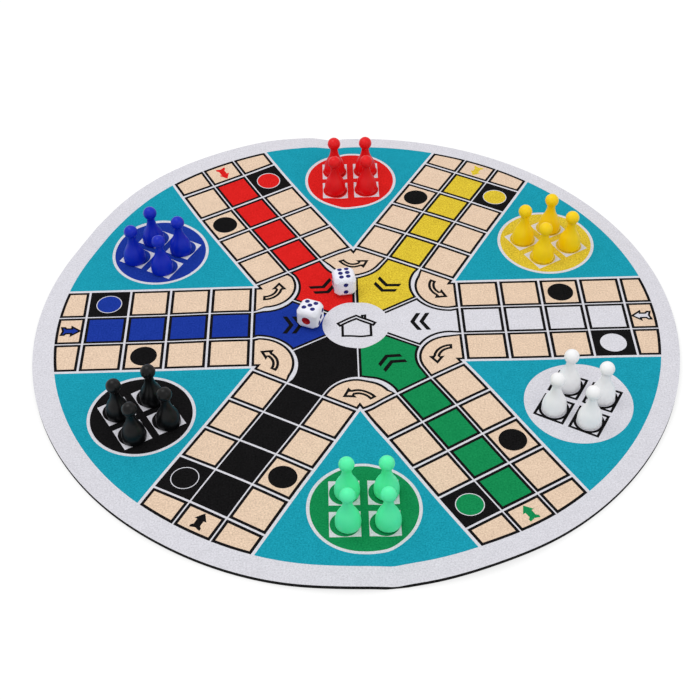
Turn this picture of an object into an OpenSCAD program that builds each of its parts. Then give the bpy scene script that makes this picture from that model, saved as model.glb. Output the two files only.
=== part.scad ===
// Round folding ludo mat for six players, with its pawns and dice set out for play.
// Origin: centre of the mat's underside. +Z is up, +Y points at the red home, +X to the right.

/* [Mat] */
// Diameter of the mat
mat_d = 320; // [280:5:420]
// Thickness of the printed cloth face
cloth_t = 0.5; // [0.3:0.1:1]
// Thickness of the rubber backing
rubber_t = 1.5; // [1:0.1:3]

/* [Crease] */
// Turn of the fold line away from the line through the red and green homes
crease_turn = 3.75; // [0:0.25:15]
// How far to the right of the mat's centre the fold line passes
crease_shift = 1.6; // [-5:0.1:5]
// Gap between the two halves at the fold line
crease_gap = 0.3; // [0.2:0.05:0.6]
// Width of the pressed slope on each side of the fold line
crease_w = 5; // [3:0.5:8]
// Depth of the pressed valley along the fold line
crease_depth = 0.6; // [0.2:0.1:0.9]

/* [Homes] */
// Distance from the mat's rim in to the centre of each home
home_inset = 41.4; // [36:0.1:60]
// Distance between neighbouring pawns in a home
pawn_step = 17.5; // [15:0.1:24]
// How far the four pawns stand to one side of each home, from yellow round to white
home_shift = [-0.4, 0, 2.4, 2.4, 1.4, 0]; // [-4:0.1:4]

/* [Pawn] */
// Overall height of a pawn
pawn_h = 22.7; // [20:0.1:30]
// Widest diameter of a pawn's belly
belly_d = 11.6; // [10:0.1:14]
// Height of the widest part of the belly above the sole
belly_z = 2; // [1.5:0.1:4]
// Radius of the belly's outline
belly_curve_r = 13.5; // [9:0.5:16]
// Diameter of the neck at its thinnest
neck_d = 4.2; // [3:0.1:5]
// How far the thinnest part of the neck lies below the middle of the head
neck_drop = 3.5; // [3.2:0.1:6]
// Diameter of the ball head
head_d = 7.1; // [6:0.1:8]
// Radius of the rounded edge at the foot
foot_edge_r = 0.8; // [0.4:0.1:1.4]
// Diameter of the dished recess under the foot
dish_d = 8.4; // [4:0.1:8.8]
// Depth of the dished recess under the foot
dish_depth = 0.6; // [0.2:0.1:1]

/* [Dice] */
// Edge length of a die
die_w = 11.5; // [9:0.5:13]
// Radius of a die's rounded edges
die_edge_r = 2.8; // [1.2:0.1:3]
// Distance from the middle of a face out to the ball that rounds off the corners
corner_reach = 1.9; // [1.5:0.1:2.5]
// Diameter of a pip
pip_d = 2.5; // [1.2:0.1:2.8]
// Depth of a pip
pip_depth = 0.5; // [0.2:0.05:0.6]
// Diameter of the single pip on the one
ace_d = 4.5; // [2.4:0.1:5]
// Depth of the single pip on the one
ace_depth = 0.7; // [0.3:0.05:0.9]
// Distance of the outer pips from the middle lines of their face
pip_reach = 2.3; // [2:0.1:2.6]
// Distance of the six's two rows of pips from the middle line between them
six_gauge = 1.75; // [1.5:0.05:2.2]
// Distance between neighbouring pips within a row of the six
six_step = 3; // [2.8:0.1:3.3]
// Place of the first die on the mat
die_1_at = [-23, 1.8]; // [-60:0.1:60]
// Turn of the first die
die_1_turn = -22.7; // [-45:0.1:45]
// Place of the second die on the mat
die_2_at = [-5.6, 25.6]; // [-60:0.1:60]
// Turn of the second die
die_2_turn = 9; // [-45:0.1:45]

/* [Hidden] */
$fn = 96;

// The six homes: name, direction from the centre, and plastic of the pawns
TEAMS = [
    ["yellow", 30, "gold"],
    ["red", 90, "crimson"],
    ["blue", 150, "mediumblue"],
    ["black", 210, "dimgray"],
    ["green", 270, "mediumspringgreen"],
    ["white", 330, "whitesmoke"]
];
mat_t = rubber_t + cloth_t;
home_r = mat_d / 2 - home_inset;

// ---- Mat: one die-cut disc of two bonded layers, creased across the middle ----

// Outline of the right half of a layer, seen along the fold line and given by its two surfaces:
// each has a height, and a drop by which it slopes down to the fold line
module layer_outline(low_z, low_drop, high_z, high_drop) {
    fold = crease_gap / 2;
    shoulder = fold + crease_w;
    polygon([
        [fold, low_z - low_drop], [shoulder, low_z], [mat_d, low_z],
        [mat_d, high_z], [shoulder, high_z], [fold, high_z - high_drop]
    ]);
}

// One half of a layer, whose outline is the child; side is 1 for the right half and -1 for the left
module half_layer(side) {
    intersection() {
        cylinder(h = mat_t, d = mat_d, $fn = 240);
        translate([crease_shift, 0, 0])
            rotate([0, 0, crease_turn])
                handed(side)
                    rotate([90, 0, 0])
                        linear_extrude(height = 2 * mat_d, center = true)
                            children();
    }
}

// The children as they are, or mirrored to the left where side is -1
module handed(side) {
    if (side > 0)
        children();
    else
        mirror([1, 0, 0]) children();
}

module rubber_half(side) {
    color([0.05, 0.05, 0.055])
        half_layer(side) layer_outline(0, 0, rubber_t, crease_depth);
}

module cloth_half(side) {
    color([0.87, 0.87, 0.9])
        half_layer(side) layer_outline(rubber_t, crease_depth, mat_t, crease_depth);
}

// ---- Pawn: a turned shape of three tangent curves under a ball ----

head_r = head_d / 2;
head_z = pawn_h - head_r;
neck_r = neck_d / 2;
// Height of the thinnest part of the neck
neck_z = head_z - neck_drop;
// Centre of the belly's arc, which bulges out to belly_d at belly_z
belly_x = belly_d / 2 - belly_curve_r;
// Radius of the hollow flank, so that its arc meets the belly's smoothly and leaves the neck upright
flank_r = (pow(neck_r - belly_x, 2) + pow(neck_z - belly_z, 2) - pow(belly_curve_r, 2))
    / (2 * (belly_curve_r - neck_r + belly_x));
flank_x = neck_r + flank_r;
// Height at which the belly's arc runs over into the flank's
flank_start_z = belly_z + (neck_z - belly_z) * belly_curve_r / (belly_curve_r + flank_r);
flank_start_r = belly_x + (flank_x - belly_x) * belly_curve_r / (belly_curve_r + flank_r);
// Centre of the foot's rounded edge, which touches the sole and the belly's arc
foot_x = belly_x + sqrt(pow(belly_curve_r - foot_edge_r, 2) - pow(belly_z - foot_edge_r, 2));
// Height at which the foot's edge runs over into the belly
foot_top_z = belly_z - (belly_z - foot_edge_r) * belly_curve_r / (belly_curve_r - foot_edge_r);
// Radius of the ball that dishes the underside
dish_r = (pow(dish_d / 2, 2) + pow(dish_depth, 2)) / (2 * dish_depth);

module foot_outline() {
    square([foot_x, belly_z]);
    translate([foot_x, foot_edge_r]) circle(r = foot_edge_r);
}

module belly_outline() {
    intersection() {
        translate([belly_x, belly_z]) circle(r = belly_curve_r, $fn = 180);
        translate([0, foot_top_z]) square([belly_d, flank_start_z - foot_top_z]);
    }
}

// The hollow flank and the neck's core up into the head
module neck_outline() {
    difference() {
        translate([0, belly_z]) square([flank_start_r, neck_z - belly_z]);
        translate([flank_x, neck_z]) circle(r = flank_r, $fn = 240);
    }
    translate([0, belly_z]) square([neck_r, head_z - belly_z]);
}

module head_outline() {
    intersection() {
        translate([0, head_z]) circle(r = head_r);
        translate([0, head_z - head_r]) square([head_r, head_d]);
    }
}

module pawn() {
    rotate_extrude()
        difference() {
            union() {
                foot_outline();
                belly_outline();
                neck_outline();
                head_outline();
            }
            translate([0, dish_depth - dish_r]) circle(r = dish_r, $fn = 180);
        }
}

// Pawn number 1 to 4 of a team, on its square: 1 and 2 nearer the centre, 3 and 4 nearer the rim
module team_pawn(team, number) {
    out = home_r + (number > 2 ? 0.5 : -0.5) * pawn_step;
    across = home_shift[team] + (number % 2 == 1 ? -0.5 : 0.5) * pawn_step;
    color(TEAMS[team][2])
        rotate([0, 0, TEAMS[team][1]])
            translate([out, across, mat_t])
                pawn();
}

// ---- Dice: rounded cubes with sunk pips, opposite faces adding up to seven ----

module rounded_square(w, r) {
    square([w, w - 2 * r], center = true);
    square([w - 2 * r, w], center = true);
    for (x = [-1, 1], y = [-1, 1])
        translate([x, y] * (w / 2 - r)) circle(r = r);
}

module rounded_bar() {
    linear_extrude(height = die_w, center = true)
        rounded_square(die_w, die_edge_r);
}

module die_blank() {
    intersection() {
        rounded_bar();
        rotate([90, 0, 0]) rounded_bar();
        rotate([0, 90, 0]) rounded_bar();
        sphere(d = die_w + 2 * corner_reach);
    }
}

// Middles of the pips that show a value; the two stands upright, the others follow the usual marks
function pip_places(value) =
    value == 2 ? [[0, -pip_reach], [0, pip_reach]] :
    value == 6 ? [for (x = [-six_gauge, six_gauge], y = [-six_step, 0, six_step]) [x, y]] :
    concat(
        value % 2 == 1 ? [[0, 0]] : [],
        value > 1 ? [for (s = [-pip_reach, pip_reach]) [s, -s]] : [],
        value > 3 ? [for (s = [-pip_reach, pip_reach]) [s, s]] : []
    );

// Balls that sink the pips of a value into the top face
module pips(value) {
    r = (value == 1 ? ace_d : pip_d) / 2;
    depth = value == 1 ? ace_depth : pip_depth;
    ball_r = (r * r + depth * depth) / (2 * depth);
    for (at = pip_places(value))
        translate([at[0], at[1], die_w / 2 - depth + ball_r]) sphere(r = ball_r);
}

// A die with five on top, two below, one on its front and three on its right
module die() {
    color("white")
        difference() {
            die_blank();
            pips(5);
            rotate([180, 0, 0]) pips(2);
            rotate([90, 0, 0]) pips(1);
            rotate([-90, 0, 0]) pips(6);
            rotate([0, 90, 0]) pips(3);
            rotate([0, -90, 0]) pips(4);
        }
}

module die_on_mat(at, turn) {
    translate([at[0], at[1], mat_t + die_w / 2])
        rotate([0, 0, turn])
            children();
}

module die_1() { die_on_mat(die_1_at, die_1_turn) die(); }

// The second die lies with its six up, its two in front and its three on the left
module die_2() { die_on_mat(die_2_at, die_2_turn) rotate([90, 0, 180]) die(); }

rubber_half(-1);  // rubber_left
rubber_half(1);  // rubber_right
cloth_half(-1);  // cloth_left
cloth_half(1);  // cloth_right
for (team = [0:5], number = [1:4])
    team_pawn(team, number);
die_1();
die_2();
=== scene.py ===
import math

import bpy
from bpy.props import FloatProperty, FloatVectorProperty, PointerProperty
from mathutils import Matrix, Vector
from mathutils.geometry import delaunay_2d_cdt


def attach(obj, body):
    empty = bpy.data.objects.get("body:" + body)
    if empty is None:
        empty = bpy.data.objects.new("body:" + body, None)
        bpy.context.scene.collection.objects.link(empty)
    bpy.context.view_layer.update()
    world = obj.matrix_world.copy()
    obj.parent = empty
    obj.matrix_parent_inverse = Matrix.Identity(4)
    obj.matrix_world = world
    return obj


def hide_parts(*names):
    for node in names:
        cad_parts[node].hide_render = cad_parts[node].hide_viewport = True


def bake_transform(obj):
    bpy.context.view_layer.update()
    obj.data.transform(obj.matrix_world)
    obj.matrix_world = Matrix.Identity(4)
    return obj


bl_info = {
    "name": "Folding ludo mat set",
    "version": (1, 0, 0),
    "blender": (4, 5, 0),
    "location": "3D View > Sidebar > Ludo mat",
    "description": "Dresses the packed ludo mat, its pawns and its dice with cloth, rubber and plastic",
    "category": "Add Mesh",
}

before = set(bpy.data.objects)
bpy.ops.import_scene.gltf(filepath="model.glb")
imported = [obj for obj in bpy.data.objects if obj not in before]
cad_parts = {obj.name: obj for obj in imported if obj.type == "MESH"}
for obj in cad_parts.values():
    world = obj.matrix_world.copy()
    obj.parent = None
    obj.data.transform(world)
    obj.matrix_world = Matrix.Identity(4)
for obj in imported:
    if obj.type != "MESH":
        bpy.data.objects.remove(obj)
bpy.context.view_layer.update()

# ---- Places and sizes that the solids give, in metres ----

SQUARE = 0.021
MAT_R = 0.16
CUT_AT = (-0.0007, -0.0011)  # middle of the cut disc, a little off the print's middle
MAT_TOP = 0.002
CLOTH_T = 0.0005
NAP_GIVES = 0.00002  # how far the nap gives under the feet of the pawns and dice
CREASE_X = 0.0016
CREASE_TURN = math.radians(3.75)
ALONG = (-math.sin(CREASE_TURN), math.cos(CREASE_TURN))
ACROSS = (math.cos(CREASE_TURN), math.sin(CREASE_TURN))
TEAMS = {"yellow": 30, "red": 90, "blue": 150, "black": 210, "green": 270, "white": 330}
ARMS = {"white": 0, "yellow": 60, "red": 120, "blue": 180, "black": 240, "green": 300}

DIE_W = 0.0115
PIP_D = 0.0025
PIP_DEPTH = 0.0005
ACE_D = 0.0045
ACE_DEPTH = 0.0007
PIP_REACH = 0.0023
SIX_GAUGE = 0.00175
SIX_STEP = 0.003
DIE_1_AT = (-0.023, 0.0018)
DIE_1_TURN = -22.7
DIE_2_AT = (-0.0056, 0.0256)
DIE_2_TURN = 9

# ---- The printed board, in squares of the track; a later field lies over an earlier one ----

PRINT_R = 7.17
ROW_LINES = (2.5, 3.53, 4.52, 5.5, 6.5)
ROW_GAP = 0.025
LINE = 0.068
OUTLINE = 0.062
COLUMNS = {-1: (-1.364, -0.476), 0: (-0.444, 0.444), 1: (0.476, 1.364)}
ARM_EDGE = 1.433
FIELD_END = 2.475
DIVIDER = 0.016
HOME_AT = 5.65
BEND_FROM_CENTRE = 2.588
# Bends of the corner field and of the coloured fields beside it: shift of the middle, and radius
BENDS = {
    30: ((0.025, -0.042, 0.805), (0.047, 0.017, 0.910)),
    90: ((0.017, -0.119, 0.707), (-0.019, -0.096, 0.794)),
    150: ((0.012, 0.115, 0.789), (0.001, 0.067, 0.853)),
    210: ((-0.092, -0.001, 0.858), (-0.111, -0.051, 0.958)),
    270: ((-0.040, -0.109, 0.836), (0.011, -0.125, 0.919)),
    330: ((-0.085, 0.037, 0.739), (-0.049, 0.065, 0.816)),
}
CORNER_ARC = (268, 152)  # directions between which a corner field is round, in degrees
FINISH_TIP_R = 0.7  # where a finish field is cut off, hidden under the round centre
# Curved arrow of a corner field: the arc of its shaft, its tail and neck in degrees, and its head
ARROW_R = 0.372
ARROW_HALF = 0.083
ARROW_TAIL = 147
ARROW_TAIL_TURN = 150  # degrees that the tail gives way for each square of inset
ARROW_NECK = 231
ARROW_TIP = 270
ARROW_TIP_R = 0.423
ARROW_HEAD_HALF = 0.188
ARROW_INSET = 0.066
# Outlined figures: how far the black reaches outwards and the ink inwards
ARM_ARROW_EDGE = (0.028, -0.024)
HOUSE_EDGE = (0.028, -0.034)
CHEVRONS_AT = (1.28, 1.50)
START_DISC = (0.311, 0.292)
SAFE_DOT_R = 0.314
HOME_DISC = (1.217, 1.146)
HOME_PLACE = 0.415  # a home's four places, off its middle
PLACE_SQUARE = 0.33
PLACE_DISC = 0.32
WHITE_PLACE_SQUARE = (0.360, 0.298)
WHITE_PLACE_DISC = (0.346, 0.284)
CENTRE = (-0.012, -0.035, 0.804)


def turned(points, degrees):
    c, s = math.cos(math.radians(degrees)), math.sin(math.radians(degrees))
    return [(c * x - s * y, s * x + c * y) for x, y in points]


def on_circle(centre, r, degrees):
    t = math.radians(degrees)
    return centre[0] + r * math.cos(t), centre[1] + r * math.sin(t)


def arc(centre, r, start, end, step=6.0):
    n = max(2, int(abs(end - start) / step) + 1)
    return [on_circle(centre, r, start + (end - start) * i / n) for i in range(n + 1)]


def disc(u, v, r, n=48):
    return arc((u, v), r, 0, 360, 360 / n)[:n]


def grown(points, by):
    """A counter-clockwise outline moved outwards, or inwards where by is negative."""
    out = []
    for i in range(len(points)):
        (x0, y0), (x1, y1), (x2, y2) = points[i - 1], points[i], points[(i + 1) % len(points)]
        a, b = math.hypot(x1 - x0, y1 - y0), math.hypot(x2 - x1, y2 - y1)
        nx, ny = (y1 - y0) / a, -(x1 - x0) / a
        mx, my = (y2 - y1) / b, -(x2 - x1) / b
        k = max(1 + nx * mx + ny * my, 0.35)
        out.append((x1 + by * (nx + mx) / k, y1 + by * (ny + my) / k))
    return out


def counter_clockwise(points):
    """The outline as it is, or the other way round where it runs clockwise."""
    area = sum(a[0] * b[1] - b[0] * a[1] for a, b in zip(points, points[1:] + points[:1]))
    return points if area > 0 else points[::-1]


def cell(u0, u1, v0, v1, inset):
    """A square of the track; the outermost row ends on the print's round edge."""
    v0, v1 = v0 + inset, v1 - inset
    if u1 < PRINT_R:
        outer = [(u1 - inset, v0), (u1 - inset, v1)]
    else:
        r = PRINT_R - inset
        levels = [v0 + (v1 - v0) * i / 4 for i in range(5)]
        outer = [(math.sqrt(r * r - v * v), v) for v in levels]
    return [(u0 + inset, v0)] + outer + [(u0 + inset, v1)]


def arm_arrow():
    """The feathered arrow in the outermost middle square, which points inwards."""
    half = [(6.80, 0.145), (6.80, 0.078), (6.935, 0.078), (6.98, 0.128), (7.045, 0.128)]
    return [(6.61, 0)] + [(u, -v) for u, v in half] + [(7.005, 0)] + half[::-1]


def bend(arm, side, ring, share=1.0):
    """Middle and radius of the bend on one side of an arm, seen along the arm with that side up."""
    dx, dy, r = BENDS[(arm + 30 * side) % 360][ring]
    c, s = math.cos(math.radians(arm)), math.sin(math.radians(arm))
    u, v = share * (c * dx + s * dy), share * (c * dy - s * dx)
    reach = math.radians(30)
    middle = (BEND_FROM_CENTRE * math.cos(reach) + u, BEND_FROM_CENTRE * math.sin(reach) + side * v)
    return middle, r


def finish_field(arm):
    """The coloured field between an arm's middle column and the round centre."""
    sides = {}
    for side in (1, -1):
        (cu, cv), r = bend(arm, side, 1)
        level = cv * math.cos(math.radians(30)) - cu * math.sin(math.radians(30))
        end = 120 + math.degrees(math.acos((-DIVIDER - level) / r))
        a = math.radians(30) - math.asin(DIVIDER / FINISH_TIP_R)
        sides[side] = [(FIELD_END, COLUMNS[0][1])] + arc((cu, cv), r, 270, end, 5.0)
        sides[side].append((FINISH_TIP_R * math.cos(a), FINISH_TIP_R * math.sin(a)))
    return sides[1] + [(u, -v) for u, v in reversed(sides[-1])]


def corner_field(arm, inset):
    """The rounded field where two arms meet, in the frame of the arm on its clockwise side."""
    middle, r = bend(arm, 1, 0)
    edge = COLUMNS[1][1] - inset
    low = [(FIELD_END - inset, edge), (FIELD_END - inset, COLUMNS[1][0] + inset)]
    c, s = math.cos(math.radians(60)), math.sin(math.radians(60))
    high = [(c * x + s * y, s * x - c * y) for x, y in reversed(low)]
    tip = (edge / math.tan(math.radians(30)), edge)
    return low + arc(middle, r - inset, *CORNER_ARC) + high + [tip]


def bent_arrow(arm, inset):
    """The curved arrow in a corner field, which shows the way round the track."""
    middle, _ = bend(arm, 1, 0, 0.5)
    r, half = ARROW_R, ARROW_HALF - inset
    tail = ARROW_TAIL + inset * ARROW_TAIL_TURN
    back = on_circle(middle, r, ARROW_NECK)
    tip = on_circle(middle, ARROW_TIP_R, ARROW_TIP)
    dx, dy = tip[0] - back[0], tip[1] - back[1]
    length = math.hypot(dx, dy)
    nx, ny = -dy / length * ARROW_HEAD_HALF, dx / length * ARROW_HEAD_HALF
    head = grown([(back[0] - nx, back[1] - ny), tip, (back[0] + nx, back[1] + ny)], -inset)
    outside = arc(middle, r + half, tail, ARROW_NECK, 8)
    inside = arc(middle, r - half, ARROW_NECK, tail, 8)
    return outside + head + inside


def chevron(u):
    """One stroke of the double chevron that points to the centre."""
    half = [(u, 0), (u + 0.16, 0.30), (u + 0.27, 0.30), (u + 0.11, 0)]
    return half[:1] + [(x, -y) for x, y in half[1:3]] + half[3:] + half[2:0:-1]


def square(u, v, half):
    return [(u - half, v - half), (u + half, v - half), (u + half, v + half), (u - half, v + half)]


def arm_fields(team, angle):
    """An arm's three columns of squares, its start square, safe dot, arrow and finish field."""
    ink = "cloth" if team == "white" else team
    fields = []
    for row, low in enumerate(ROW_LINES):
        last = row == len(ROW_LINES) - 1
        u0, u1 = low + ROW_GAP, PRINT_R if last else ROW_LINES[row + 1] - ROW_GAP
        for side, (v0, v1) in COLUMNS.items():
            middle = ((u0 + u1) / 2, (v0 + v1) / 2)
            fields.append(("black", cell(u0, u1, v0, v1, 0)))
            if side < 0 and row == 3:
                fields.append(("cloth", disc(*middle, START_DISC[0])))
                fields.append((ink, disc(*middle, START_DISC[1])))
                continue
            fields.append((ink if side == 0 and not last else "tan", cell(u0, u1, v0, v1, LINE)))
            if side > 0 and row == 2:
                fields.append(("black", disc(*middle, SAFE_DOT_R)))
    if team in ("blue", "white"):
        fields.append(("black", grown(arm_arrow(), ARM_ARROW_EDGE[0])))
        fields.append((ink, grown(arm_arrow(), ARM_ARROW_EDGE[1])))
    else:
        fields.append((ink, arm_arrow()))
    fields.append(("black", finish_field(angle)))
    fields.append((ink, grown(finish_field(angle), -OUTLINE)))
    if team != "black":
        fields += [("black", chevron(u)) for u in CHEVRONS_AT]
    return fields


def corner_fields(angle):
    """A corner field with its curved arrow."""
    return [
        ("black", corner_field(angle, 0)), ("tan", corner_field(angle, OUTLINE)),
        ("black", bent_arrow(angle, 0)), ("tan", bent_arrow(angle, ARROW_INSET)),
    ]


def home_fields(team):
    """A home: a disc with four squares, each with a round place for a pawn."""
    ink = "cloth" if team == "white" else team
    outer, inner = HOME_DISC
    fields = [("cloth", disc(HOME_AT, 0, outer, 96)), (ink, disc(HOME_AT, 0, inner, 96))]
    for u in (HOME_AT - HOME_PLACE, HOME_AT + HOME_PLACE):
        for v in (-HOME_PLACE, HOME_PLACE):
            if team == "white":
                for line, half in zip(("black", "cloth"), WHITE_PLACE_SQUARE):
                    fields.append((line, square(u, v, half)))
                for line, r in zip(("black", "cloth"), WHITE_PLACE_DISC):
                    fields.append((line, disc(u, v, r)))
            else:
                fields += [("cloth", square(u, v, PLACE_SQUARE)), (ink, disc(u, v, PLACE_DISC))]
    return fields


def centre_fields():
    """The round centre with an outlined house."""
    chimney = [(0.14, 0.16), (0.215, 0.10), (0.215, 0.295), (0.14, 0.295)]
    walls = [(-0.34, -0.02), (-0.34, -0.43), (0.34, -0.43), (0.34, -0.02), (0, 0.20)]
    roof = [
        (-0.452, 0.01), (-0.396, -0.075), (0, 0.19), (0.396, -0.075), (0.452, 0.01), (0, 0.309),
    ]
    fields = [("cloth", disc(*CENTRE, 72))]
    for outline in (chimney, walls, roof):
        for line, edge in zip(("black", "cloth"), HOUSE_EDGE):
            fields.append((line, grown(outline, edge)))
    return fields


def board_fields():
    """Every printed field as (ink, outline), in metres on the mat."""
    half = math.degrees(math.asin(ARM_EDGE / PRINT_R))
    sector = [(2 * ARM_EDGE, 0)] + arc((0, 0), PRINT_R, half - 30, 30 - half, 2.0)
    fields = [("teal", turned(sector, 30 + 60 * k)) for k in range(6)]
    for team, angle in ARMS.items():
        fields += [(ink, turned(outline, angle)) for ink, outline in arm_fields(team, angle)]
    for angle in ARMS.values():
        fields += [(ink, turned(outline, angle)) for ink, outline in corner_fields(angle)]
    for team, angle in TEAMS.items():
        fields += [(ink, turned(outline, angle)) for ink, outline in home_fields(team)]
    fields += centre_fields()
    return [
        (ink, [(x * SQUARE, y * SQUARE) for x, y in counter_clockwise(outline)])
        for ink, outline in fields
    ]


# ---- The mat's lie: flat under the pawns and dice, pressed in along the crease ----


def from_crease(x, y):
    """Distance to the right of the fold line, and along it."""
    dx = x - CREASE_X
    return dx * ACROSS[0] + y * ACROSS[1], dx * ALONG[0] + y * ALONG[1]


CURL_FROM = 0.098
FLAT_FROM_FOOT = (0.0075, 0.009)  # flat this far round a foot, and back to full height after this
CREASE_REACH = 0.012  # the humps and the curl fade out this close to the fold line
# Share of the curl that each direction of the rim takes, in degrees
CURL = (
    (92, 0), (96, 0.25), (99, 0.47), (102, 0.6), (105, 0.73), (108, 0.83), (114, 0.88),
    (120, 0.94), (126, 1), (132, 1), (138, 0.9), (141, 0.78), (144, 0.65), (147, 0.47),
    (150, 0.33), (153, 0.13), (157, 0),
)
# Low humps: middle, reach and height
HUMPS = (
    (0.050, 0.075, 0.032, 0.0012), (0.050, -0.050, 0.032, 0.0013), (-0.063, 0.0, 0.025, 0.0008),
    (-0.045, -0.100, 0.028, 0.0016), (-0.080, -0.112, 0.028, 0.0011), (0.120, -0.050, 0.028, 0.0011),
    (0.055, -0.147, 0.026, 0.0016), (-0.010, -0.160, 0.020, 0.0012),
)


def resting_places():
    """Middles of the pawns and dice on the mat."""
    for name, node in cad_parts.items():
        if name.startswith(("pawn_", "die_")):
            corners = [node.matrix_world @ Vector(corner) for corner in node.bound_box]
            yield sum(c.x for c in corners) / 8, sum(c.y for c in corners) / 8


def smooth(t):
    t = min(1, max(0, t))
    return t * t * (3 - 2 * t)


def curl_share(degrees):
    for (a, low), (b, high) in zip(CURL, CURL[1:]):
        if a <= degrees < b:
            return low + (high - low) * (degrees - a) / (b - a)
    return 0


def lift(x, y, places):
    """How far the mat lies above its flat place at a point."""
    settings = bpy.context.scene.ludo_mat
    across, along = from_crease(x, y)
    valley = -settings.crease_depth * math.exp(-((across / settings.crease_width) ** 2))
    out = max(0, math.hypot(x, y) - CURL_FROM) / (MAT_R - CURL_FROM)
    rise = settings.curl * out * out * curl_share(math.degrees(math.atan2(y, x)))
    for hx, hy, reach, height in HUMPS:
        rise += settings.humps * height * math.exp(-((x - hx) ** 2 + (y - hy) ** 2) / reach ** 2)
    nearest = min(math.hypot(x - px, y - py) for px, py in places)
    rise *= smooth((nearest - FLAT_FROM_FOOT[0]) / FLAT_FROM_FOOT[1])
    rise *= smooth(abs(across) / CREASE_REACH)
    return valley + rise


# ---- Meshes ----


def piece(name, mesh):
    obj = bpy.data.objects.new(name, mesh)
    bpy.context.scene.collection.objects.link(obj)
    return obj


def split_edge(a, b, step):
    n = max(1, math.ceil(math.dist(a, b) / step))
    return [(a[0] + (b[0] - a[0]) * i / n, a[1] + (b[1] - a[1]) * i / n) for i in range(n)]


def crease_lines():
    """Lines beside the fold line, close enough for the mat to bend round between them."""
    near = [0.0003 * i for i in range(11)]
    far = [0.004, 0.005, 0.0065, 0.0085, 0.011]
    offsets = sorted({s * d for s in (-1, 1) for d in near + far})
    for offset in offsets:
        px, py = CREASE_X + offset * ACROSS[0], offset * ACROSS[1]
        qx, qy = px - CUT_AT[0], py - CUT_AT[1]
        b = qx * ALONG[0] + qy * ALONG[1]
        root = math.sqrt(b * b - (qx * qx + qy * qy - MAT_R * MAT_R))
        yield [(px + t * ALONG[0], py + t * ALONG[1]) for t in (-b - root, -b + root)]


def disc_mesh(fields, spacing):
    """The mat's round face as flat triangles along every printed outline and the crease.
    Gives its points, its triangles and each triangle's ink.
    """
    lines = list(crease_lines())
    angles = {round(2 * math.pi * i / 360, 6) for i in range(360)}
    ends = [
        math.atan2(y - CUT_AT[1], x - CUT_AT[0]) % (2 * math.pi) for line in lines for x, y in line
    ]
    clear = 0.0015  # radians between a rim point and the end of a crease line
    angles = {a for a in angles if min(abs(a - e) for e in ends) > clear} | set(ends)
    rim = [
        (CUT_AT[0] + MAT_R * math.cos(a), CUT_AT[1] + MAT_R * math.sin(a)) for a in sorted(angles)
    ]
    points, edges, faces, inks = [], [], [], []

    def add_loop(outline, step):
        first = len(points)
        for a, b in zip(outline, outline[1:] + outline[:1]):
            points.extend(split_edge(a, b, step))
        faces.append(list(range(first, len(points))))

    add_loop(rim, 1.0)
    inks.append("cloth")
    for ink, outline in fields:
        add_loop(outline, spacing)
        inks.append(ink)
    for start, end in lines:
        first = len(points)
        points.extend(split_edge(start, end, spacing) + [end])
        edges.extend((i, i + 1) for i in range(first, len(points) - 1))
    rows = int(MAT_R / spacing)
    for i in range(-rows, rows + 1):
        for j in range(-rows, rows + 1):
            x, y = (i + 0.5 * (j % 2)) * spacing, j * spacing * 0.9
            out = math.hypot(x - CUT_AT[0], y - CUT_AT[1])
            if out < MAT_R - spacing * 0.6 and abs(from_crease(x, y)[0]) > CREASE_REACH:
                points.append((x, y))
    flat = [Vector((x * 1000, y * 1000)) for x, y in points]
    verts, _, tris, _, _, owners = delaunay_2d_cdt(flat, edges, faces, 1, 1e-4, True)
    keep = [(tri, max(own)) for tri, own in zip(tris, owners) if own]
    places = [(v.x / 1000, v.y / 1000) for v in verts]
    return places, [tri for tri, _ in keep], [inks[own] for _, own in keep]


def sheet_mesh(name, fields, spacing, top, bottom, inks, rim_colour):
    """A closed sheet between two heights on the flat mat, with its rim, kept above the floor."""
    points, tris, colours = disc_mesh(fields, spacing)
    count = len(points)
    places = list(resting_places())
    lifts = [lift(x, y, places) for x, y in points]
    verts = [(x, y, top + rise) for (x, y), rise in zip(points, lifts)]
    verts += [(x, y, max(0, bottom + rise)) for (x, y), rise in zip(points, lifts)]
    faces = [tuple(t) for t in tris] + [tuple(count + i for i in reversed(t)) for t in tris]
    slots = [inks.index(c) for c in colours] + [0] * len(tris)
    # Rim faces take rim_colour: on the cloth this is the black ink as painted shade on the cut edge, on
    # the rubber its own colour.
    used = {edge: None for tri in tris for edge in zip(tri, tri[1:] + tri[:1])}
    for a, b in used:
        if (b, a) not in used:
            faces.append((b, a, count + a, count + b))
            slots.append(inks.index(rim_colour))
    mesh = bpy.data.meshes.new(name)
    mesh.from_pydata(verts, [], faces)
    mesh.polygons.foreach_set("material_index", slots)
    flat = mesh.uv_layers.new(name="flat")
    for loop in mesh.loops:
        x, y, _ = verts[loop.vertex_index]
        flat.data[loop.index].uv = (0.5 + x / (2 * MAT_R), 0.5 + y / (2 * MAT_R))
    mesh.update()
    mesh.shade_smooth()
    mesh.set_sharp_from_angle(angle=math.radians(50))
    return mesh


# ---- Materials ----

THREAD_SHARE = 0.86  # of the cloth's pattern; the mottling takes the rest
MOTTLE_SHARE = 0.14
COLOUR_SWING = 0.26  # share by which the threads are darker and lighter than the print
GRAIN = {"yellow": 1.9, "cloth": 0.85}  # how strongly an ink shows the threads
OTHER_GRAIN = 1.2
SCATTER = {"green": 0.35, "white": 0.25, "yellow": 0.2}  # plastics that light passes into


def nodes_of(name):
    material = bpy.data.materials.new(name)
    material.use_nodes = True
    tree = material.node_tree
    return material, tree, tree.nodes["Principled BSDF"]


def add_node(tree, kind, **values):
    node = tree.nodes.new(kind)
    for key, value in values.items():
        if hasattr(node, key):
            setattr(node, key, value)
        else:
            node.inputs[key.replace("_", " ").title()].default_value = value
    return node


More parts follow.
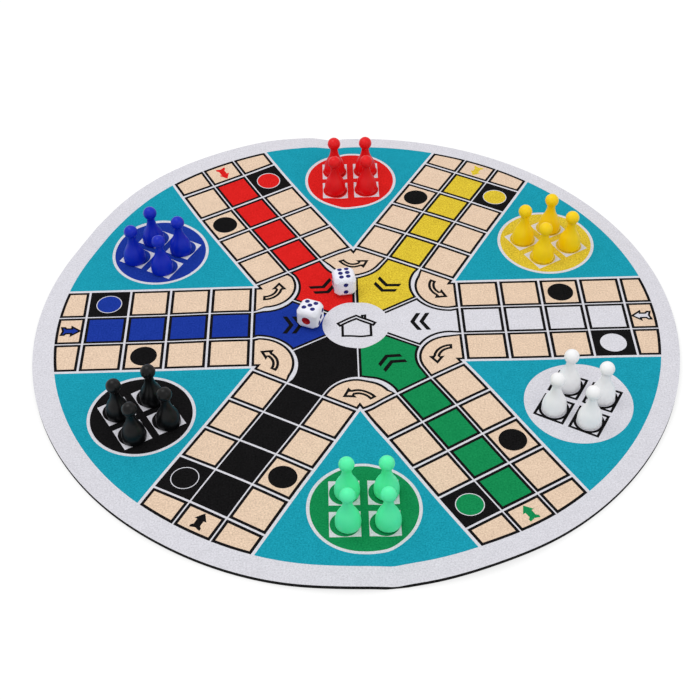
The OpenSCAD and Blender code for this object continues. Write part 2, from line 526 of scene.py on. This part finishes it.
def mix_colours(tree, factor, dark, light):
    mix = tree.nodes.new("ShaderNodeMix")
    mix.data_type = "RGBA"
    mix.inputs[6].default_value = (*dark, 1)
    mix.inputs[7].default_value = (*light, 1)
    tree.links.new(factor, mix.inputs[0])
    return mix.outputs[2]


def linear(colour):
    return tuple(c / 12.92 if c <= 0.04045 else ((c + 0.055) / 1.055) ** 2.4 for c in colour)


def cloth_material(name, colour, grain):
    """Printed knit: threads in the bump and, with a soft mottling, in the colour."""
    material, tree, surface = nodes_of(name)
    uv = add_node(tree, "ShaderNodeUVMap", uv_map="flat")
    thread = add_node(tree, "ShaderNodeTexNoise", Scale=400.0, Detail=3.0, Roughness=0.75)
    mottle = add_node(tree, "ShaderNodeTexNoise", Scale=60.0, Detail=3.0, Roughness=0.6)
    for texture in (thread, mottle):
        tree.links.new(uv.outputs["UV"], texture.inputs["Vector"])
    blend = add_node(tree, "ShaderNodeMath", operation="MULTIPLY_ADD")
    tree.links.new(thread.outputs["Fac"], blend.inputs[0])
    blend.inputs[1].default_value = THREAD_SHARE
    share = add_node(tree, "ShaderNodeMath", operation="MULTIPLY")
    tree.links.new(mottle.outputs["Fac"], share.inputs[0])
    share.inputs[1].default_value = MOTTLE_SHARE
    tree.links.new(share.outputs[0], blend.inputs[2])
    spread = add_node(tree, "ShaderNodeMapRange")
    spread.inputs["From Min"].default_value = 0.3
    spread.inputs["From Max"].default_value = 0.7
    tree.links.new(blend.outputs[0], spread.inputs["Value"])
    base = linear(colour)
    dark = tuple(max(0, c * (1 - COLOUR_SWING * grain) - 0.004) for c in base)
    light = tuple(min(1, c * (1 + COLOUR_SWING * grain) + 0.006) for c in base)
    printed = mix_colours(tree, spread.outputs["Result"], dark, light)
    tree.links.new(printed, surface.inputs["Base Color"])
    bump = add_node(tree, "ShaderNodeBump", Strength=0.3, Distance=0.00015)
    tree.links.new(blend.outputs[0], bump.inputs["Height"])
    tree.links.new(bump.outputs["Normal"], surface.inputs["Normal"])
    surface.inputs["Roughness"].default_value = 0.9
    surface.inputs["Specular IOR Level"].default_value = 0.05
    return material


def rubber_material():
    """Foamed rubber: matte black with a pebbled grain."""
    material, tree, surface = nodes_of("foamed_rubber")
    coords = add_node(tree, "ShaderNodeTexCoord")
    grain = add_node(tree, "ShaderNodeTexVoronoi", Scale=900.0)
    tree.links.new(coords.outputs["Object"], grain.inputs["Vector"])
    dark, light = (0.002, 0.002, 0.002), (0.014, 0.014, 0.015)
    colour = mix_colours(tree, grain.outputs["Distance"], dark, light)
    tree.links.new(colour, surface.inputs["Base Color"])
    bump = add_node(tree, "ShaderNodeBump", Strength=0.6, Distance=0.0003)
    tree.links.new(grain.outputs["Distance"], bump.inputs["Height"])
    tree.links.new(bump.outputs["Normal"], surface.inputs["Normal"])
    surface.inputs["Roughness"].default_value = 0.9
    surface.inputs["Specular IOR Level"].default_value = 0.15
    return material


def plastic_material(name, colour, roughness, subsurface=0.0):
    """Moulded plastic: an even colour with faint flow marks and a satin skin."""
    material, tree, surface = nodes_of(name)
    coords = add_node(tree, "ShaderNodeTexCoord")
    flow = add_node(tree, "ShaderNodeTexNoise", Scale=160.0, Detail=2.0)
    skin = add_node(tree, "ShaderNodeTexNoise", Scale=2600.0, Detail=1.0)
    for texture in (flow, skin):
        tree.links.new(coords.outputs["Object"], texture.inputs["Vector"])
    base = linear(colour)
    dark = tuple(c * 0.93 for c in base)
    light = tuple(min(1, c * 1.06 + 0.002) for c in base)
    moulded = mix_colours(tree, flow.outputs["Fac"], dark, light)
    tree.links.new(moulded, surface.inputs["Base Color"])
    gloss = add_node(tree, "ShaderNodeMapRange")
    gloss.inputs["To Min"].default_value = roughness - 0.05
    gloss.inputs["To Max"].default_value = roughness + 0.06
    tree.links.new(skin.outputs["Fac"], gloss.inputs["Value"])
    tree.links.new(gloss.outputs["Result"], surface.inputs["Roughness"])
    bump = add_node(tree, "ShaderNodeBump", Strength=0.08, Distance=0.00005)
    tree.links.new(skin.outputs["Fac"], bump.inputs["Height"])
    tree.links.new(bump.outputs["Normal"], surface.inputs["Normal"])
    surface.inputs["Specular IOR Level"].default_value = 0.25
    if subsurface:
        surface.inputs["Subsurface Weight"].default_value = subsurface
        surface.inputs["Subsurface Radius"].default_value = (0.002, 0.002, 0.002)
        surface.inputs["Subsurface Scale"].default_value = 1.0
    return material


# ---- Settings that a user would change ----


def colour_property(name, description, default):
    return FloatVectorProperty(
        name=name, description=description, default=default,
        subtype="COLOR", size=3, min=0, max=1,
    )


def length_property(name, description, default, low, high):
    return FloatProperty(
        name=name, description=description, default=default,
        min=low, max=high, unit="LENGTH", precision=5,
    )


class LudoMatSettings(bpy.types.PropertyGroup):
    """Lie and colours of the mat."""

    curl: length_property("Curl", "Height to which the far left rim curls up", 0.006, 0, 0.02)
    humps: FloatProperty(
        name="Humps", description="Height of the mat's low humps, as a share",
        default=1, min=0, max=2,
    )
    crease_depth: length_property(
        "Crease depth", "Depth of the valley along the fold line", 0.0006, 0, 0.001
    )
    crease_width: length_property(
        "Crease width", "Half width of the valley at the fold line", 0.004, 0.002, 0.01
    )
    cloth: colour_property("Bare cloth", "Colour of the unprinted cloth", (0.843, 0.839, 0.867))
    teal: colour_property("Teal", "Colour printed between the arms", (0.090, 0.596, 0.682))
    tan: colour_property("Tan", "Colour printed on the track", (0.894, 0.784, 0.686))
    black: colour_property("Black", "Colour of the printed lines", (0.060, 0.055, 0.062))
    red: colour_property("Red", "Colour printed for the red player", (0.843, 0.118, 0.110))
    blue: colour_property("Blue", "Colour printed for the blue player", (0.094, 0.208, 0.592))
    yellow: colour_property("Yellow", "Colour printed for the yellow player", (0.894, 0.745, 0.208))
    green: colour_property("Green", "Colour printed for the green player", (0.059, 0.529, 0.306))


class LudoPieceSettings(bpy.types.PropertyGroup):
    """Colours of the pawns and dice."""

    yellow: colour_property("Yellow pawns", "Plastic of the yellow pawns", (1.0, 0.83, 0.0))
    red: colour_property("Red pawns", "Plastic of the red pawns", (0.90, 0.04, 0.07))
    blue: colour_property("Blue pawns", "Plastic of the blue pawns", (0.0, 0.14, 0.73))
    black: colour_property("Black pawns", "Plastic of the black pawns", (0.018, 0.018, 0.024))
    green: colour_property("Green pawns", "Plastic of the mint green pawns", (0.36, 1.0, 0.70))
    white: colour_property("White pawns", "Plastic of the white pawns", (0.985, 0.985, 1.0))
    die: colour_property("Dice", "Plastic of the dice", (0.93, 0.93, 0.97))
    pip: colour_property("Pips", "Paint of the pips", (0.06, 0.07, 0.44))
    ace: colour_property("Red pips", "Paint of the one and the four", (0.66, 0.03, 0.01))


class LudoStageSettings(bpy.types.PropertyGroup):
    """Floor and light around the mat."""

    key_power: FloatProperty(
        name="Key light", description="Power of the large lamp above",
        default=1.5, min=0, unit="POWER",
    )
    sky: FloatProperty(
        name="Fill light", description="Strength of the even light from all sides",
        default=0.8, min=0,
    )


# ---- Operators, one for each piece or group of like pieces ----

INKS = ("cloth", "teal", "tan", "black", "red", "blue", "yellow", "green")
LAYER_GAP = 0.00001  # between the rubber and the cloth on it


def bend_over_crease(obj):
    """Bakes the sheet's place into its mesh; its valley along the fold line is already in its points.
    """
    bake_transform(obj)


class LUDO_OT_cloth(bpy.types.Operator):
    """Make the printed cloth face as one conforming sheet"""

    bl_idname = "ludo.cloth"
    bl_label = "Make printed cloth"

    def execute(self, context):
        top = MAT_TOP - NAP_GIVES
        bottom = MAT_TOP - CLOTH_T
        # The cloth's rim takes the black ink as painted shade on its cut edge.
        mesh = sheet_mesh("mat_cloth", board_fields(), 0.004, top, bottom, INKS, "black")
        for ink in INKS:
            colour = getattr(context.scene.ludo_mat, ink)
            grain = GRAIN.get(ink, OTHER_GRAIN)
            mesh.materials.append(cloth_material("printed_" + ink, colour, grain))
        cloth = piece("mat_cloth", mesh)
        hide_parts("cloth_left", "cloth_right")
        bend_over_crease(cloth)
        return {"FINISHED"}


class LUDO_OT_rubber(bpy.types.Operator):
    """Make the foamed rubber backing under the cloth"""

    bl_idname = "ludo.rubber"
    bl_label = "Make rubber backing"

    def execute(self, context):
        top = MAT_TOP - CLOTH_T - LAYER_GAP
        mesh = sheet_mesh("mat_rubber", [], 0.006, top, 0.0, ("cloth",), "cloth")
        mesh.materials.append(rubber_material())
        rubber = piece("mat_rubber", mesh)
        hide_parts("rubber_left", "rubber_right")
        bend_over_crease(rubber)
        return {"FINISHED"}


class LUDO_OT_pawns(bpy.types.Operator):
    """Give the pawns their moulded plastic"""

    bl_idname = "ludo.pawns"
    bl_label = "Dress pawns"

    def execute(self, context):
        for team in TEAMS:
            colour = getattr(context.scene.ludo_pieces, team)
            plastic = plastic_material(team + "_plastic", colour, 0.32, SCATTER.get(team, 0.0))
            for number in (1, 2, 3, 4):
                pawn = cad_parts[f"pawn_{team}_{number}"]
                for material_slot in pawn.material_slots:
                    material_slot.material = plastic
        return {"FINISHED"}


def pip_places(value):
    """Middles of a value's pips on its face; the two stands upright, as in the photograph."""
    if value == 2:
        return [(0, -PIP_REACH), (0, PIP_REACH)]
    if value == 6:
        return [(x, y) for x in (-SIX_GAUGE, SIX_GAUGE) for y in (-SIX_STEP, 0, SIX_STEP)]
    places = [(0, 0)] if value % 2 else []
    if value > 1:
        places += [(s, -s) for s in (-PIP_REACH, PIP_REACH)]
    if value > 3:
        places += [(s, s) for s in (-PIP_REACH, PIP_REACH)]
    return places


def sunk_pips():
    """Every pip: middle and radius of the ball that sinks it, its own radius, its face's
    outward direction and its paint.
    """
    faces = {
        5: Matrix(), 2: Matrix.Rotation(math.pi, 4, "X"), 1: Matrix.Rotation(math.pi / 2, 4, "X"),
        6: Matrix.Rotation(-math.pi / 2, 4, "X"), 3: Matrix.Rotation(math.pi / 2, 4, "Y"),
        4: Matrix.Rotation(-math.pi / 2, 4, "Y"),
    }
    for value, face in faces.items():
        r, depth = (ACE_D / 2, ACE_DEPTH) if value == 1 else (PIP_D / 2, PIP_DEPTH)
        ball = (r * r + depth * depth) / (2 * depth)
        for x, y in pip_places(value):
            middle = face @ Vector((x, y, DIE_W / 2 - depth + ball))
            yield middle, ball, r, face.to_3x3() @ Vector((0, 0, 1)), 2 if value in (1, 4) else 1


def die_mesh(node, place):
    """The die's skin with the hollows of its pips set apart for the paint."""
    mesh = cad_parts[node].data.copy()
    mesh.name = node
    mesh.materials.clear()
    inverse = place.inverted()
    pips = list(sunk_pips())
    slots = []
    for polygon in mesh.polygons:
        at = inverse @ polygon.center
        paint = 0
        for middle, ball, r, up, colour in pips:
            offset = at - middle
            if offset.length < ball + 0.00001 and (offset - up * offset.dot(up)).length < r:
                paint = colour
        slots.append(paint)
    mesh.polygons.foreach_set("material_index", slots)
    return mesh


class LUDO_OT_dice(bpy.types.Operator):
    """Make the two dice with painted pips"""

    bl_idname = "ludo.dice"
    bl_label = "Make dice"

    def execute(self, context):
        colours = context.scene.ludo_pieces
        plastic = plastic_material("die_plastic", colours.die, 0.2)
        paints = [
            plastic_material("pip_blue", colours.pip, 0.3),
            plastic_material("pip_red", colours.ace, 0.3),
        ]
        tipped = Matrix.Rotation(math.pi, 4, "Z") @ Matrix.Rotation(math.pi / 2, 4, "X")
        for node, (x, y), turn, tip in (
            ("die_1", DIE_1_AT, DIE_1_TURN, Matrix()), ("die_2", DIE_2_AT, DIE_2_TURN, tipped),
        ):
            place = Matrix.Translation((x, y, MAT_TOP + DIE_W / 2))
            place = place @ Matrix.Rotation(math.radians(turn), 4, "Z")
            mesh = die_mesh(node, place @ tip)
            for material in (plastic, *paints):
                mesh.materials.append(material)
            die = piece(node + "_painted", mesh)
            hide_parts(node)
            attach(die, node)
        return {"FINISHED"}


FLOOR_HALF = 3
FLOOR_DROP = 0.0001  # keeps the floor clear of the rubber's flat underside
FLOOR_GLOW = 0.72  # adds up with the lamps to white where the camera sees the floor
# The photograph's viewpoint, fitted to the printed squares: degrees, and lengths in squares
CAMERA_ELEVATION = 44.15
CAMERA_AZIMUTH = -0.68
CAMERA_ROLL = 1.13
CAMERA_TARGET = (-0.179, -0.910)
CAMERA_DISTANCE = 31.13
FOCAL_PIXELS = 1329.3
PICTURE_PIXELS = 700
SENSOR = 36


class LUDO_OT_stage(bpy.types.Operator):
    """Set up the floor, the soft light and the camera"""

    bl_idname = "ludo.stage"
    bl_label = "Set up stage"

    def execute(self, context):
        scene = context.scene
        scene.view_settings.view_transform = "Standard"
        floor_mesh = bpy.data.meshes.new("floor")
        corners = [(x * FLOOR_HALF, y * FLOOR_HALF, 0) for x, y in ((-1, -1), (1, -1), (1, 1), (-1, 1))]
        floor_mesh.from_pydata(corners, [], [(0, 1, 2, 3)])
        floor = bpy.data.objects.new("floor", floor_mesh)
        scene.collection.objects.link(floor)
        floor.location.z = -FLOOR_DROP
        material, tree, surface = nodes_of("pale_floor")
        surface.inputs["Base Color"].default_value = (0.32, 0.32, 0.32, 1)
        surface.inputs["Roughness"].default_value = 1
        surface.inputs["Specular IOR Level"].default_value = 0
        surface.inputs["Emission Color"].default_value = (1, 1, 1, 1)
        path = tree.nodes.new("ShaderNodeLightPath")
        seen = add_node(tree, "ShaderNodeMath", operation="MAXIMUM")
        seen_through = add_node(tree, "ShaderNodeMath", operation="MAXIMUM")
        tree.links.new(path.outputs["Is Camera Ray"], seen.inputs[0])
        tree.links.new(path.outputs["Is Glossy Ray"], seen.inputs[1])
        tree.links.new(seen.outputs[0], seen_through.inputs[0])
        tree.links.new(path.outputs["Is Transmission Ray"], seen_through.inputs[1])
        glow = add_node(tree, "ShaderNodeMath", operation="MULTIPLY")
        tree.links.new(seen_through.outputs[0], glow.inputs[0])
        glow.inputs[1].default_value = FLOOR_GLOW
        tree.links.new(glow.outputs[0], surface.inputs["Emission Strength"])
        floor_mesh.materials.append(material)
        self.light(scene)
        self.camera(scene)
        return {"FINISHED"}

    def light(self, scene):
        world = bpy.data.worlds.new("studio")
        scene.world = world
        world.use_nodes = True
        tree = world.node_tree
        sky = tree.nodes["Background"]
        path = tree.nodes.new("ShaderNodeLightPath")
        level = add_node(tree, "ShaderNodeMapRange")
        level.inputs["To Min"].default_value = scene.ludo_stage.sky
        level.inputs["To Max"].default_value = 1.0
        tree.links.new(path.outputs["Is Camera Ray"], level.inputs["Value"])
        tree.links.new(level.outputs["Result"], sky.inputs["Strength"])
        sky.inputs["Color"].default_value = (1, 1, 1, 1)
        for name, place, size, power in (
            ("key", (-0.25, 0.15, 0.75), 0.5, scene.ludo_stage.key_power),
            ("fill", (0.5, -0.4, 0.6), 0.6, scene.ludo_stage.key_power * 0.4),
        ):
            lamp = bpy.data.lights.new(name, "AREA")
            lamp.shape = "DISK"
            lamp.size = size
            lamp.energy = power
            obj = bpy.data.objects.new(name, lamp)
            scene.collection.objects.link(obj)
            obj.location = place
            obj.rotation_euler = (-Vector(place)).to_track_quat("-Z", "Y").to_euler()

    def camera(self, scene):
        elevation = math.radians(CAMERA_ELEVATION)
        azimuth = math.radians(CAMERA_AZIMUTH)
        roll = math.radians(CAMERA_ROLL)
        back = Vector((
            math.sin(azimuth) * math.cos(elevation),
            -math.cos(azimuth) * math.cos(elevation),
            math.sin(elevation),
        ))
        right = Vector((math.cos(azimuth), math.sin(azimuth), 0))
        up = back.cross(right)
        side = math.cos(roll) * right - math.sin(roll) * up
        top = math.sin(roll) * right + math.cos(roll) * up
        target = Vector((CAMERA_TARGET[0] * SQUARE, CAMERA_TARGET[1] * SQUARE, MAT_TOP))
        place = target + back * (CAMERA_DISTANCE * SQUARE)
        camera_data = bpy.data.cameras.new("camera")
        camera_data.sensor_width = SENSOR
        camera_data.sensor_fit = "HORIZONTAL"
        camera_data.lens = FOCAL_PIXELS / PICTURE_PIXELS * SENSOR
        camera_data.clip_start = 0.01
        camera = bpy.data.objects.new("camera", camera_data)
        scene.collection.objects.link(camera)
        camera.matrix_world = Matrix((
            (side.x, top.x, back.x, place.x),
            (side.y, top.y, back.y, place.y),
            (side.z, top.z, back.z, place.z),
            (0, 0, 0, 1),
        ))
        scene.camera = camera


class VIEW3D_PT_ludo(bpy.types.Panel):
    """The ludo mat's sizes, colours and making"""

    bl_label = "Ludo mat"
    bl_idname = "VIEW3D_PT_ludo"
    bl_space_type = "VIEW_3D"
    bl_region_type = "UI"
    bl_category = "Ludo mat"

    def draw(self, context):
        for group in ("ludo_mat", "ludo_pieces", "ludo_stage"):
            box = self.layout.box()
            settings = getattr(context.scene, group)
            for name in settings.__annotations__:
                box.prop(settings, name)
        for operator in OPERATORS:
            self.layout.operator(operator.bl_idname)


OPERATORS = (LUDO_OT_stage, LUDO_OT_cloth, LUDO_OT_rubber, LUDO_OT_pawns, LUDO_OT_dice)
CLASSES = (LudoMatSettings, LudoPieceSettings, LudoStageSettings, *OPERATORS, VIEW3D_PT_ludo)


def register():
    for cls in CLASSES:
        bpy.utils.register_class(cls)
    bpy.types.Scene.ludo_mat = PointerProperty(type=LudoMatSettings)
    bpy.types.Scene.ludo_pieces = PointerProperty(type=LudoPieceSettings)
    bpy.types.Scene.ludo_stage = PointerProperty(type=LudoStageSettings)


def unregister():
    for name in ("ludo_stage", "ludo_pieces", "ludo_mat"):
        delattr(bpy.types.Scene, name)
    for cls in reversed(CLASSES):
        bpy.utils.unregister_class(cls)


def main():
    register()
    bpy.ops.ludo.stage()
    bpy.ops.ludo.cloth()
    bpy.ops.ludo.rubber()
    bpy.ops.ludo.pawns()
    bpy.ops.ludo.dice()


if __name__ == "__main__":
    main()
